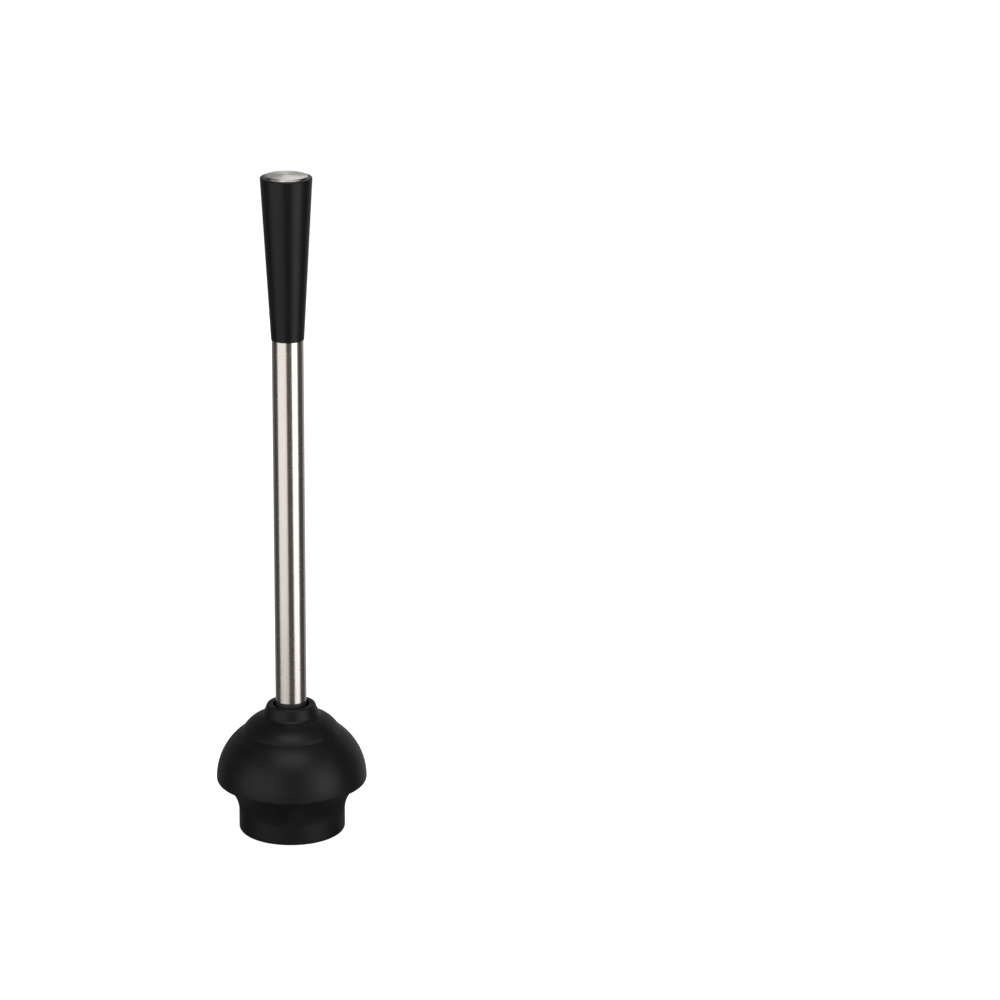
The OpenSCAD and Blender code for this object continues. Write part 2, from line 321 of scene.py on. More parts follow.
# %% Floor
FLOOR_HALF = 9.0
floor_mesh = bpy.data.meshes.new("floor")
floor_mesh.from_pydata(
    [(-FLOOR_HALF, -FLOOR_HALF, 0), (FLOOR_HALF, -FLOOR_HALF, 0),
     (FLOOR_HALF, FLOOR_HALF, 0), (-FLOOR_HALF, FLOOR_HALF, 0)], [], [(0, 1, 2, 3)])
floor = bpy.data.objects.new("floor", floor_mesh)
bpy.context.scene.collection.objects.link(floor)
floor_paint = bpy.data.materials.new("pale floor")
floor_paint.use_nodes = True
sheet = floor_paint.node_tree.nodes["Principled BSDF"]
sheet.inputs["Base Color"].default_value = (0.8, 0.8, 0.8, 1)
sheet.inputs["Roughness"].default_value = 0.9
sheet.inputs["Specular IOR Level"].default_value = 0
sheet.inputs["Emission Color"].default_value = (1, 1, 1, 1)
sheet.inputs["Emission Strength"].default_value = 0.8
floor_mesh.materials.append(floor_paint)
floor.visible_glossy = False
floor.visible_shadow = False
floor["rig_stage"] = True
print("floor:", 2 * FLOOR_HALF, "m square")

# %% [markdown]
# ## Outlines
# An outline is an array of (radius, height) rows. A moulded or turned edge is never perfectly
# sharp, so each corner is rounded with a small arc. A row is also put just before and just
# after each arc: the shading then bends only on the arc, and the long wall beside it stays
# flat. This does what a bevel with support loops does, in two short functions.


# %% Arcs and rounded corners
def arc(centre, r, start, end, steps):
    """steps + 1 points centre + r (cos a, sin a), with a from start to end in degrees."""
    a = np.radians(np.linspace(start, end, steps + 1))
    return np.column_stack([centre[0] + r * np.cos(a), centre[1] + r * np.sin(a)])


def unit(v):
    """v divided by its own length."""
    return v / np.hypot(*v)


def rounded(before, at, after, r, steps=6, support=0.25 * MM):
    """The corner at, between the points before and after, rounded with an arc of radius r.
    With half the angle between the sides h, the arc touches the sides r / tan h from the
    corner, and its centre is r / sin h along the bisector. A support row is added beside
    each end of the arc, where the side has room for it."""
    before, at, after = (np.asarray(p, float) for p in (before, at, after))
    back = unit(before - at)
    on = unit(after - at)
    half = math.acos(float(np.clip(back @ on, -1, 1))) / 2
    reach = r / math.tan(half)
    centre = at + unit(back + on) * r / math.sin(half)
    first = at + back * reach - centre
    last = at + on * reach - centre
    sweep = math.pi - 2 * half
    t = np.linspace(0, 1, steps + 1)[:, None]
    round_rows = centre + (np.sin((1 - t) * sweep) * first + np.sin(t * sweep) * last) / math.sin(sweep)
    rows = [round_rows]
    if np.hypot(*(before - at)) > 2 * (reach + support):
        rows.insert(0, (at + back * (reach + support))[None])
    if np.hypot(*(after - at)) > 2 * (reach + support):
        rows.append((at + on * (reach + support))[None])
    return np.vstack(rows)


def rounded_outline(points, radii):
    """Rounds each inner point of an open outline with its own radius. A radius of 0 keeps the
    point as it is. The two ends stay."""
    points = np.asarray(points, float)
    rows = [points[:1]]
    for k, r in enumerate(radii, start=1):
        rows.append(rounded(points[k - 1], points[k], points[k + 1], r) if r else points[k:k + 1])
    rows.append(points[-1:])
    return np.vstack(rows)


print("a rounded square corner has", len(rounded((0, 0), (1, 0), (1, 1), 0.1)), "rows")

# %% [markdown]
# ## Turning an outline
# A lathe's surface is a function of two parameters: the row i along the outline and the angle
# t about the axis, with point (r cos t, r sin t, z). Whole arrays of both make every vertex at
# once. Rows on the axis close to a single pole. An outline that never meets the axis is a
# loop, so it joins its last row to its first. The order of the outline decides which way the
# faces point, so the signed area of the outline is checked and the rows are reversed if the
# faces would point inwards.

# %% The turned surface
TURN_STEPS = 192
ROUND = np.linspace(0, 2 * np.pi, TURN_STEPS, endpoint=False)


def turned(name, radii, heights, angles=ROUND, sharp_rows=(), **row_values):
    """Object whose vertices are (r cos t, r sin t, z), where r = radii[i] or radii[i, j],
    z = heights[i] and t = angles[j]. Each of row_values has one number a row, and becomes a
    point attribute of that name. Rows in sharp_rows keep a hard edge."""
    heights = np.asarray(heights, float)
    radii = np.asarray(radii, float)
    grid_r = radii if radii.ndim == 2 else np.repeat(radii[:, None], len(angles), axis=1)
    mean_r = grid_r.mean(axis=1)
    area = np.sum(mean_r * np.roll(heights, -1) - np.roll(mean_r, -1) * heights)
    if area < 0:
        grid_r, heights = grid_r[::-1], heights[::-1]
        row_values = {key: np.asarray(value)[::-1] for key, value in row_values.items()}
        sharp_rows = [len(heights) - 1 - k for k in sharp_rows]
    n, m = grid_r.shape
    poles = bool(abs(grid_r[0]).max() < 1e-9)
    rows = slice(1, n - 1) if poles else slice(0, n)
    r = grid_r[rows]
    z = np.repeat(heights[rows, None], m, axis=1)
    points = np.stack([r * np.cos(angles), r * np.sin(angles), z], axis=-1).reshape(-1, 3)
    index = np.arange(len(r) * m).reshape(len(r), m)
    upper = index[1:] if poles else np.roll(index, -1, axis=0)
    lower = index[:-1] if poles else index
    faces = np.stack([lower, np.roll(lower, -1, axis=1), np.roll(upper, -1, axis=1), upper],
                     axis=-1).reshape(-1, 4).tolist()
    if poles:
        low_pole, high_pole = len(points), len(points) + 1
        points = np.vstack([points, [0, 0, heights[0]], [0, 0, heights[-1]]])
        ring = index[0]
        faces += np.stack([np.full(m, low_pole), np.roll(ring, -1), ring], axis=-1).tolist()
        ring = index[-1]
        faces += np.stack([np.full(m, high_pole), ring, np.roll(ring, -1)], axis=-1).tolist()
    mesh = bpy.data.meshes.new(name)
    mesh.from_pydata(points.tolist(), [], faces)
    mesh.polygons.foreach_set("use_smooth", np.ones(len(mesh.polygons), bool))
    for key, value in row_values.items():
        value = np.asarray(value, np.float32)
        at_points = np.repeat(value[rows], m)
        if poles:
            at_points = np.append(at_points, value[[0, -1]])
        mesh.attributes.new(key, "FLOAT", "POINT").data.foreach_set("value", at_points)
    if len(sharp_rows):
        row_of = np.full(len(points), -1)
        row_of[:index.size] = np.repeat(np.arange(len(r)) + (1 if poles else 0), m)
        ends = np.zeros(len(mesh.edges) * 2, np.int32)
        mesh.edges.foreach_get("vertices", ends)
        ends = row_of[ends.reshape(-1, 2)]
        hard = (ends[:, 0] == ends[:, 1]) & np.isin(ends[:, 0], list(sharp_rows))
        mesh.attributes.new("sharp_edge", "BOOLEAN", "EDGE").data.foreach_set("value", hard)
    piece = bpy.data.objects.new(name, mesh)
    bpy.context.scene.collection.objects.link(piece)
    print(f"{name}: {len(points)} points, z {points[:, 2].min() / MM:.2f} to"
          f" {points[:, 2].max() / MM:.2f} mm, widest {grid_r.max() / MM:.2f} mm")
    return piece


# %% [markdown]
# ## The rubber cup
# On the real object the cup is one moulding: a collar, an upper lobe, a bell, and a flange
# that folds out from under it. It moves at three places: the upper lobe flexes when the
# handle rocks, the bell squashes, and the flange tucks up into the bell. So the cup is made
# as three skins with a real wall thickness. Each skin stores, for every point, its share of
# the travel between two bodies, and two skins meet where both give their whole share to the
# same body: one join is hidden in the crease between the lobes, and the other under the bell's lip.

# %% The crease, rounded on both skins
CREASE_ROUND = 1.2 * MM
crease_out = np.array([crease_r, crease_z])
crease_in = np.array([
    lobe_arc_x + (lobe_arc_r - cup_wall) * math.cos(math.radians(lobe_start)),
    lobe_arc_z + (lobe_arc_r - cup_wall) * math.sin(math.radians(lobe_start))])
bell_wall = arc((bell_arc_x, bell_z), bell_arc_r, 0, crease_angle, 96)
lobe_wall = arc((lobe_arc_x, lobe_arc_z), lobe_arc_r, lobe_start, lobe_end, 40)
crease_rows = rounded(bell_wall[-3], crease_out, lobe_wall[2], CREASE_ROUND, 8)
crease_middle = crease_rows[len(crease_rows) // 2]
print("the crease is rounded to", round(CREASE_ROUND / MM, 1), "mm, at radius",
      round(crease_middle[0] / MM, 2), "mm and height", round(crease_middle[1] / MM, 2), "mm")

# %% Skin 1: collar, boss and upper lobe
half_rows = len(crease_rows) // 2
COLLAR_FILLET = 4.5 * MM
COLLAR_DRAFT = 0.5 * MM
INSERT_STEP = 2 * MM
INSERT_STEP_H = 3 * MM
BOSS_WALL = 3 * MM
lobe_shown = lobe_wall[2:-6]
collar_side = rounded_outline(
    [lobe_wall[-7], (collar_foot_r, collar_foot_z), (collar_top_r - COLLAR_DRAFT, collar_top),
     (recess_r, collar_top), (recess_r, recess_floor)],
    [COLLAR_FILLET, collar_edge_r, 0.7 * MM])
insert_r = radius("neck_insert")
insert_foot = foot("neck_insert")
socket_r = insert_r - INSERT_STEP
boss_r = insert_r + BOSS_WALL
boss_meets = math.degrees(math.acos((boss_r - lobe_arc_x) / (lobe_arc_r - cup_wall)))
lobe_inside = arc((lobe_arc_x, lobe_arc_z), lobe_arc_r - cup_wall, boss_meets, lobe_start, 30)
boss_side = rounded_outline(
    [(0, boss_foot), (boss_r, boss_foot), lobe_inside[0], lobe_inside[4]], [2 * MM, 2.5 * MM])
neck_rows = np.vstack([
    boss_side, lobe_inside[5:],
    crease_rows[half_rows:], lobe_shown[1:], collar_side[1:],
    [(socket_r, recess_floor), (socket_r, insert_foot + INSERT_STEP_H),
     (insert_r, insert_foot + INSERT_STEP_H), (insert_r, insert_foot), (0, insert_foot)]])
join_row = len(boss_side) + len(lobe_inside[5:])


def ease(x):
    """Goes smoothly from 0 at x = 0 to 1 at x = 1: 3x^2 - 2x^3, held at 0 and 1 outside."""
    x = np.clip(x, 0, 1)
    return x * x * (3 - 2 * x)


flex = ease((neck_rows[:, 0] - collar_foot_r) / (crease_in[0] - collar_foot_r))
cup_top = turned("cup_top", neck_rows[:, 0], neck_rows[:, 1], follow=flex,
                 wear=ease((neck_rows[:, 1] - collar_top + 1.2 * MM) / (1.2 * MM)),
                 sharp_rows=(join_row - 1, join_row))

# %% [markdown]
# The bell is an arc of nearly 50 mm. When the handle is pushed, the top of the bell sinks and
# its shoulder rolls over. So two outlines are drawn: the bell at rest, and the bell pressed
# as far as its joint goes. A point's share of the joint's travel is the height that it loses
# between the two, divided by the travel. That keeps the wall about as thick when pressed as
# at rest, which a plain blend along a line wouldn't do.

# %% Skin 2: the bell, at rest and pressed
travel = {j["name"]: j.get("range_m", [0, 0])[1] for j in frame["joints"]}
PRESS_FROM_R = 57 * MM
PRESS_WHOLE_R = 43 * MM
PRESS_INSIDE_R = 41 * MM
PRESS_FADE = 4 * MM
FLASH = 0.08 * MM
lip_arc = arc((bell_r - lip_r, bell_z), lip_r, -90, 0, 18)
flash_row = 9
lip_arc[flash_row] += FLASH * unit(lip_arc[flash_row] - (bell_r - lip_r, bell_z))
bell_outside = np.vstack([lip_arc, bell_wall[2:-3], crease_rows[:half_rows + 1]])
bell_inside = arc((bell_arc_x, bell_z), bell_arc_r - cup_wall, crease_angle, corner_angle, 60)
bell_rows = np.vstack([bell_outside, bell_inside])


def pressed_outside(r):
    """Height of the pressed bell's outside at radius r: the arc's height, less the travel
    times a smooth step that is 0 at the shoulder and 1 at the crease."""
    rest = bell_z + np.sqrt(np.maximum(bell_arc_r**2 - (r - bell_arc_x) ** 2, 0))
    return rest - travel["bell_squash"] * ease((PRESS_FROM_R - r) / (PRESS_FROM_R - PRESS_WHOLE_R))


inside_r = bell_inside[:, 0]
slope = np.gradient(pressed_outside(inside_r), inside_r)
inside_pressed = pressed_outside(inside_r) - cup_wall * np.sqrt(1 + slope**2)
outside_share = ease((PRESS_FROM_R - bell_outside[:, 0]) / (PRESS_FROM_R - PRESS_WHOLE_R))
inside_share = np.clip((bell_inside[:, 1] - inside_pressed) / travel["bell_squash"], 0, 1)
inside_share = inside_share * ease((PRESS_FROM_R - inside_r) / PRESS_FADE)
inside_share[inside_r < PRESS_INSIDE_R] = 1
cup_bell = turned("cup_bell_skin", bell_rows[:, 0], bell_rows[:, 1],
                  follow=np.concatenate([outside_share, inside_share]),
                  wear=ease(1 - np.abs(bell_rows[:, 1] - bell_z + lip_r / 2) / (1.5 * lip_r)),
                  sharp_rows=(0, len(bell_outside) - 1, len(bell_outside), len(bell_rows) - 1))

# %% [markdown]
# The flange hangs from the bell on a web that rolls. At rest the web runs from the flange up
# and out to the lip; tucked, it runs from the flange down and out. The same idea of two
# outlines gives each point its share of the travel.

# %% Skin 3: the flange and its web, out and tucked
foot_r = 2.4 * MM
foot_in_r = 0.6 * MM
flange_in_r = flange_r - flange_wall
web_in_angle = web_angle - 12
flange_foot = np.vstack([
    arc((flange_in_r + foot_in_r, foot_in_r), foot_in_r, 180, 270, 5),
    arc((flange_r - foot_r, foot_r), foot_r, -90, 0, 10)])
flange_side = np.column_stack([np.full(6, flange_r), np.linspace(foot_r, flange_top, 7)[1:]])
web_outside = arc((web_arc_x, flange_top), web_arc_r, 180, 180 - web_angle, 48)[1:]
web_inside = np.vstack([
    bell_inside[-1:],
    arc((web_arc_x, flange_top), web_arc_r + flange_wall, 180 - web_in_angle, 180, 44)])
flange_inside = np.column_stack([np.full(6, flange_in_r), np.linspace(flange_top, foot_in_r, 8)[1:-1]])
flange_rows = np.vstack([flange_foot, flange_side, web_outside, web_inside, flange_inside])

tuck = travel["flange_tuck"]
tucked_outside = np.interp(web_outside[:, 0], [flange_r, web_outside[-1, 0]],
                           [flange_top, web_outside[-1, 1] - tuck])
tucked_inside = np.interp(
    web_inside[::-1, 0],
    [flange_in_r, flange_in_r + 2 * MM, flange_r, web_inside[0, 0]],
    [flange_top, flange_top + 0.9 * MM, flange_top + 1.2 * MM, web_inside[0, 1] - tuck])[::-1]
still = np.zeros(len(flange_foot) + len(flange_side))
tuck_share = np.concatenate([
    still, (web_outside[:, 1] - tucked_outside) / tuck, (web_inside[:, 1] - tucked_inside) / tuck,
    np.zeros(len(flange_inside))])
first_web = len(still)
cup_flange = turned("cup_flange_skin", flange_rows[:, 0], flange_rows[:, 1],
                    follow=np.clip(tuck_share, 0, 1),
                    wear=ease(1 - flange_rows[:, 1] / (3 * MM)),
                    sharp_rows=(first_web + len(web_outside) - 1, first_web + len(web_outside)))


# %% Each skin's share of travel, and the imported cup pieces hidden
def bend_between(piece, start_body, end_body):
    """Bakes the piece's placement into its mesh and prints the mean of the share worked out above."""
    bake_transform(piece)
    share = np.zeros(len(piece.data.vertices), np.float32)
    piece.data.attributes["follow"].data.foreach_get("value", share)
    print(f"{piece.name}: follows {start_body} at 0 and {end_body} at 1, mean {share.mean():.2f}")


bend_between(cup_top, "neck", "crease")
bend_between(cup_bell, "bell", "crease")
bend_between(cup_flange, "flange", "bell")
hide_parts("cup_neck", "upper_lobe")
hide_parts("crease_ring", "bell_fold", "cup_bell")
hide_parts("flange_fold", "cup_flange")
for skin in (cup_top, cup_bell, cup_flange):
    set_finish(skin, "cup_rubber")

# %% [markdown]
# ## The screwed joint
# The handle screws into the cup. A rounded thread has a neat form: its section at any height
# is one circle, set a little off the axis, that turns once in each pitch. So the radius of
# the thread at angle t and height z is that of an off-centre circle, and the whole thread is
# one smooth surface in t and z. The socket is the same surface, a little wider.


# %% The thread's surface
THREAD_D = 19 * MM
PITCH = 5 * MM
THREAD_DEPTH = 1.9 * MM
THREAD_GAP = 0.35 * MM
NECK_R = THREAD_D / 2 - THREAD_DEPTH - 0.3 * MM
LEAD_SLOPE = 0.8
SHOULDER_H = 10 * MM
TUBE_WALL = 0.6 * MM
SPIGOT_WALL = 3 * MM
SPIGOT_FLOOR = 4 * MM


def thread_radius(circle_r, z):
    """With c half the thread's depth and p = t - 2 pi z / pitch, the off-centre circle of
    radius R has the radius c cos p + sqrt(R^2 - (c sin p)^2)."""
    phase = ROUND[None, :] - 2 * np.pi * np.asarray(z)[:, None] / PITCH
    shift = THREAD_DEPTH / 2
    return shift * np.cos(phase) + np.sqrt(circle_r**2 - (shift * np.sin(phase)) ** 2)


def all_round(r):
    """The same radius at every angle, for each row."""
    return np.repeat(np.asarray(r, float)[:, None], TURN_STEPS, axis=1)


plug_foot = foot("threaded_plug")
thread_top = recess_floor - 1.25 * MM
thread_z = np.linspace(plug_foot, thread_top, 84)
lead = NECK_R + (thread_z - plug_foot) / LEAD_SLOPE
thread_r = np.minimum(thread_radius((THREAD_D - THREAD_DEPTH) / 2, thread_z), lead[:, None])
shoulder_z = tube_foot - SHOULDER_H
tube_in_r = tube_r - TUBE_WALL
spigot_top = top("threaded_plug")
hollow_r = tube_in_r - SPIGOT_WALL
plug_rest = rounded_outline(
    [(NECK_R, thread_top + 0.05 * MM), (NECK_R, shoulder_z), (tube_r, shoulder_z),
     (tube_r, tube_foot), (tube_in_r, tube_foot), (tube_in_r, spigot_top), (hollow_r, spigot_top),
     (hollow_r, tube_foot + SPIGOT_FLOOR), (0, tube_foot + SPIGOT_FLOOR)],
    [0.4 * MM, 0.5 * MM, 0.15 * MM, 0, 0.4 * MM, 0.4 * MM, 1 * MM])
plug = turned(
    "screw_plug",
    np.vstack([all_round([0]), thread_r, all_round(plug_rest[:, 0])]),
    np.concatenate([[plug_foot], thread_z, plug_rest[:, 1]]), sharp_rows=(1, len(thread_z)))
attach(plug, "handle")
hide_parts("threaded_plug")
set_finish(plug, "inner_plastic")

# %% The socket, with the same thread inside it
bore_z = np.linspace(recess_floor, insert_foot, 90)
bore_r = thread_radius((THREAD_D - THREAD_DEPTH) / 2 + THREAD_GAP, bore_z)
case = np.array([(insert_r, insert_foot), (insert_r, insert_foot + INSERT_STEP_H),
                 (socket_r, insert_foot + INSERT_STEP_H), (socket_r, recess_floor)])
socket = turned(
    "screw_socket", np.vstack([all_round(case[:, 0]), bore_r]),
    np.concatenate([case[:, 1], bore_z]), sharp_rows=(0, 1, 2, 3, 4, len(case) + len(bore_z) - 1))
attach(socket, "neck")
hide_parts("neck_insert")
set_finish(socket, "inner_plastic")


# %% Seal ring
def rounded_loop(points, radii):
    """Rounds every corner of a closed outline."""
    n = len(points)
    return np.vstack([rounded(points[k - 1], points[k], points[(k + 1) % n], radii[k])
                      for k in range(n)])


seal_low, seal_high = foot("seal_ring"), top("seal_ring")
seal_out_r = radius("seal_ring")
seal_in_r = NECK_R + 0.05 * MM
seal_rows = rounded_loop(
    [(seal_in_r, seal_low), (seal_out_r, seal_low), (seal_out_r, seal_high), (seal_in_r, seal_high)],
    [0.3 * MM, 0.6 * MM, 0.6 * MM, 0.3 * MM])
seal = turned("seal", seal_rows[:, 0], seal_rows[:, 1])
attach(seal, "seal")
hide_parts("seal_ring")
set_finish(seal, "seal_rubber")

# %% [markdown]
# ## Tube, grip and cap
# The tube is drawn stainless, cut square, with its burr taken off. The grip is a moulding
# that widens from the tube to its rim, with a shallow seat for the cap. Two mould halves
# made it, so a hair-thin witness line runs up each side: the columns of the surface are set
# closer there, and stand out by a few hundredths of a millimetre.

# %% Tube
tube_rows = rounded_loop(
    [(tube_in_r, tube_foot), (tube_r, tube_foot), (tube_r, tube_top), (tube_in_r, tube_top)],
    [0.15 * MM, 0.25 * MM, 0.25 * MM, 0.15 * MM])
tube = turned("handle_tube", tube_rows[:, 0], tube_rows[:, 1])
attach(tube, "handle")
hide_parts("tube")
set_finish(tube, "tube_steel")

# %% Grip
WITNESS_HALF = 0.18 * MM
WITNESS_RISE = 0.04 * MM
GRIP_EDGE = 0.8 * MM
GRIP_WALL = 3.2 * MM
GRIP_WEB = 5 * MM
SEAT_LEDGE = 1 * MM
cap_gap = 0.1 * MM
cap_foot = foot("end_cap")
seat_flange_z = cap_foot - SEAT_LEDGE
seat_r = cap_r - SEAT_LEDGE
seat_foot = foot("cap_seat")
web_top = tube_top + GRIP_WEB
screw_hole_r = 2.3 * MM
widening = (grip_top_r - grip_foot_r) / (grip_top - GRIP_EDGE - grip_foot)
hollow_foot_r = grip_foot_r + widening * (web_top - grip_foot) - GRIP_WALL
grip_rows = rounded_loop(
    [(tube_r, grip_foot), (grip_foot_r, grip_foot), (grip_top_r, grip_top),
     (cap_r + cap_gap, grip_top), (cap_r + cap_gap, seat_flange_z), (seat_r, seat_flange_z),
     (seat_r, seat_foot), (hollow_foot_r, web_top), (screw_hole_r, web_top),
     (screw_hole_r, tube_top), (tube_r, tube_top)],
    [v * MM for v in (0.08, 0.3, 0.8, 0.25, 0.2, 0.2, 0.3, 0.5, 0.2, 0.2, 0.2)])
side_lines = np.array([0, math.pi])
witness_step = WITNESS_HALF / grip_top_r
near_lines = (side_lines[:, None] + np.array([-witness_step, 0, witness_step])).ravel() % (2 * math.pi)
grip_angles = np.unique(np.round(np.concatenate([ROUND, near_lines]), 9))
from_line = np.abs((grip_angles[:, None] - side_lines + math.pi) % (2 * math.pi) - math.pi).min(axis=1)
witness = WITNESS_RISE * np.clip(1 - from_line / witness_step, 0, 1)
outside = (grip_rows[:, 0] > grip_foot_r + widening * (grip_rows[:, 1] - grip_foot) - 0.5 * MM)
outside &= grip_rows[:, 1] < grip_top - GRIP_EDGE
grip = turned("grip_moulding", grip_rows[:, :1] + outside[:, None] * witness,
              grip_rows[:, 1], angles=grip_angles,
              wear=ease((grip_rows[:, 1] - grip_top + 1.5 * MM) / (1.5 * MM)))
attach(grip, "handle")
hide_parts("grip")
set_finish(grip, "grip_plastic")

# %% End cap
CAP_EDGE = 1.2 * MM
cap_crown = top("end_cap")
cap_dome = 0.8 * MM
cap_edge_z = cap_crown - cap_dome
dome_r = (cap_r**2 + cap_dome**2) / (2 * cap_dome)
dome_angle = math.degrees(math.asin((cap_r - CAP_EDGE) / dome_r))
dome = arc((0, cap_crown - dome_r), dome_r, 90 - dome_angle, 90, 32)
dome[-1, 0] = 0
cap_rows = np.vstack([
    [(0, cap_foot)], rounded((0, cap_foot), (cap_r, cap_foot), (cap_r, cap_edge_z), 0.2 * MM),
    arc((cap_r - CAP_EDGE, cap_edge_z - CAP_EDGE), CAP_EDGE, 0, 86, 10), dome[1:]])
cap = turned("steel_cap", cap_rows[:, 0], cap_rows[:, 1])
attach(cap, "handle")
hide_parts("end_cap")
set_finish(cap, "cap_steel")

# %% [markdown]
# ## Finishes
# Five effects make all the finishes, and each is a node group that several materials use:
# the fine grain of a mould, slow uneven patches from handling, dust on what faces up, rubbed
# edges, and the fine lines that a polishing belt or a lathe leaves round the steel. Every
# group reads Object coordinates, so a pattern stays on its piece when the piece moves.


# %% Helper: a group with named inputs and outputs
def new_group(name, inputs, outputs):
    """Shader node group. inputs is {name: default}, outputs a list of names; all are floats."""
    group = bpy.data.node_groups.new(name, "ShaderNodeTree")
    for key, value in inputs.items():
        socket = group.interface.new_socket(key, in_out="INPUT", socket_type="NodeSocketFloat")
        socket.default_value = value
    for key in outputs:
        group.interface.new_socket(key, in_out="OUTPUT", socket_type="NodeSocketFloat")
    return group, add(group, "NodeGroupInput"), add(group, "NodeGroupOutput")


def scaled_object(tree, scale_socket):
    """Object coordinates times the number on the socket."""
    place = add(tree, "ShaderNodeTexCoord")
    times = add(tree, "ShaderNodeVectorMath", operation="SCALE")
    join(tree, place.outputs["Object"], times.inputs[0])
    join(tree, scale_socket, times.inputs["Scale"])
    return times.outputs[0]


def calculate(tree, operation, a, b, clamp=False):
    """One Math node. a and b are sockets or numbers."""
    node = add(tree, "ShaderNodeMath", operation=operation, use_clamp=clamp)
    for number, value in enumerate((a, b)):
        if isinstance(value, (int, float)):
            node.inputs[number].default_value = value
        else:
            join(tree, value, node.inputs[number])
    return node.outputs[0]


def between(tree, value, low, high, to_low=0.0, to_high=1.0):
    """Map Range node: value from low..high to to_low..to_high, held at the ends."""
    node = add(tree, "ShaderNodeMapRange", {1: low, 2: high, 3: to_low, 4: to_high})
    join(tree, value, node.inputs[0])
    return node.outputs[0]


print("helpers for", bpy.app.version_string)

# %% Group: mould grain
grain, grain_in, grain_out = new_group(
    "mould grain", {"Grains per metre": 2200.0}, ["Height", "Speckle"])
grain_at = scaled_object(grain, grain_in.outputs[0])
fine = add(grain, "ShaderNodeTexNoise", {"Scale": 1.0, "Detail": 3.0, "Roughness": 0.6})
pits = add(grain, "ShaderNodeTexVoronoi", {"Scale": 0.7}, feature="SMOOTH_F1")
join(grain, grain_at, fine.inputs["Vector"])
join(grain, grain_at, pits.inputs["Vector"])
grain_height = calculate(grain, "ADD", fine.outputs[0], pits.outputs["Distance"])
join(grain, calculate(grain, "MULTIPLY", grain_height, 0.5), grain_out.inputs["Height"])
join(grain, between(grain, fine.outputs[0], 0.35, 0.65), grain_out.inputs["Speckle"])
print("group:", grain.name)

# %% Group: handling marks
marks, marks_in, marks_out = new_group(
    "handling marks", {"Patches per metre": 45.0}, ["Patches", "Scuffs"])
marks_at = scaled_object(marks, marks_in.outputs[0])
patches = add(marks, "ShaderNodeTexNoise",
              {"Scale": 1.0, "Detail": 4.0, "Roughness": 0.55, "Distortion": 0.6})
join(marks, marks_at, patches.inputs["Vector"])
join(marks, between(marks, patches.outputs[0], 0.35, 0.68), marks_out.inputs["Patches"])
stretch = add(marks, "ShaderNodeMapping", {"Rotation": (0.4, 0.7, 0.2), "Scale": (2.0, 16.0, 5.0)})
scuffs = add(marks, "ShaderNodeTexNoise", {"Scale": 1.0, "Detail": 5.0, "Roughness": 0.65})
join(marks, marks_at, stretch.inputs["Vector"])
join(marks, stretch.outputs[0], scuffs.inputs["Vector"])
join(marks, between(marks, scuffs.outputs[0], 0.62, 0.74), marks_out.inputs["Scuffs"])
print("group:", marks.name)

# %% Group: settled dust
dust, dust_in, dust_out = new_group("settled dust", {"Cover": 0.5}, ["Dust"])
facing = add(dust, "ShaderNodeTexCoord")
up = add(dust, "ShaderNodeSeparateXYZ")
join(dust, facing.outputs["Normal"], up.inputs[0])
specks = add(dust, "ShaderNodeTexNoise", {"Scale": 900.0, "Detail": 4.0, "Roughness": 0.7})
join(dust, facing.outputs["Object"], specks.inputs["Vector"])
lies = between(dust, up.outputs["Z"], 0.35, 1.0)
dusty = calculate(dust, "MULTIPLY", lies, between(dust, specks.outputs[0], 0.4, 0.75))
join(dust, calculate(dust, "MULTIPLY", dusty, dust_in.outputs[0]), dust_out.inputs["Dust"])
print("group:", dust.name)

# %% Group: rubbed edges
rubbed, rubbed_in, rubbed_out = new_group("rubbed edges", {"Amount": 1.0}, ["Rubbed"])
edge = add(rubbed, "ShaderNodeAttribute", attribute_name="wear")
edge_place = add(rubbed, "ShaderNodeTexCoord")
broken = add(rubbed, "ShaderNodeTexNoise", {"Scale": 260.0, "Detail": 5.0, "Roughness": 0.7})
join(rubbed, edge_place.outputs["Object"], broken.inputs["Vector"])
patchy = calculate(rubbed, "MULTIPLY", edge.outputs["Fac"],
                   between(rubbed, broken.outputs[0], 0.38, 0.7))
join(rubbed, calculate(rubbed, "MULTIPLY", patchy, rubbed_in.outputs[0]),
     rubbed_out.inputs["Rubbed"])
print("group:", rubbed.name)

# %% Group: polishing lines
# The lines run round the axis. Their own coordinate, Across, is the height on a tube and the
# radius on a disc. The direction from the axis, a unit vector, is the slow coordinate, so a
# line fades out after a while and there is no seam behind the piece.
lines, lines_in, lines_out = new_group(
    "polishing lines", {"Across": 0.0, "Lines per metre": 3000.0, "Length": 3.0},
    ["Line", "Height"])
lines_place = add(lines, "ShaderNodeTexCoord")
level = add(lines, "ShaderNodeVectorMath", {1: (1, 1, 0)}, operation="MULTIPLY")
join(lines, lines_place.outputs["Object"], level.inputs[0])
around = add(lines, "ShaderNodeVectorMath", operation="NORMALIZE")
join(lines, level.outputs[0], around.inputs[0])
slow = add(lines, "ShaderNodeVectorMath", operation="SCALE")
join(lines, around.outputs[0], slow.inputs[0])
join(lines, lines_in.outputs["Length"], slow.inputs["Scale"])
fast = add(lines, "ShaderNodeCombineXYZ")
join(lines, calculate(lines, "MULTIPLY", lines_in.outputs["Across"],
                      lines_in.outputs["Lines per metre"]), fast.inputs["Z"])
line_at = add(lines, "ShaderNodeVectorMath", operation="ADD")
join(lines, slow.outputs[0], line_at.inputs[0])
join(lines, fast.outputs[0], line_at.inputs[1])
scratch = add(lines, "ShaderNodeTexNoise", {"Scale": 1.0, "Detail": 2.0, "Roughness": 0.7})
join(lines, line_at.outputs[0], scratch.inputs["Vector"])
join(lines, between(lines, scratch.outputs[0], 0.3, 0.7), lines_out.inputs["Line"])
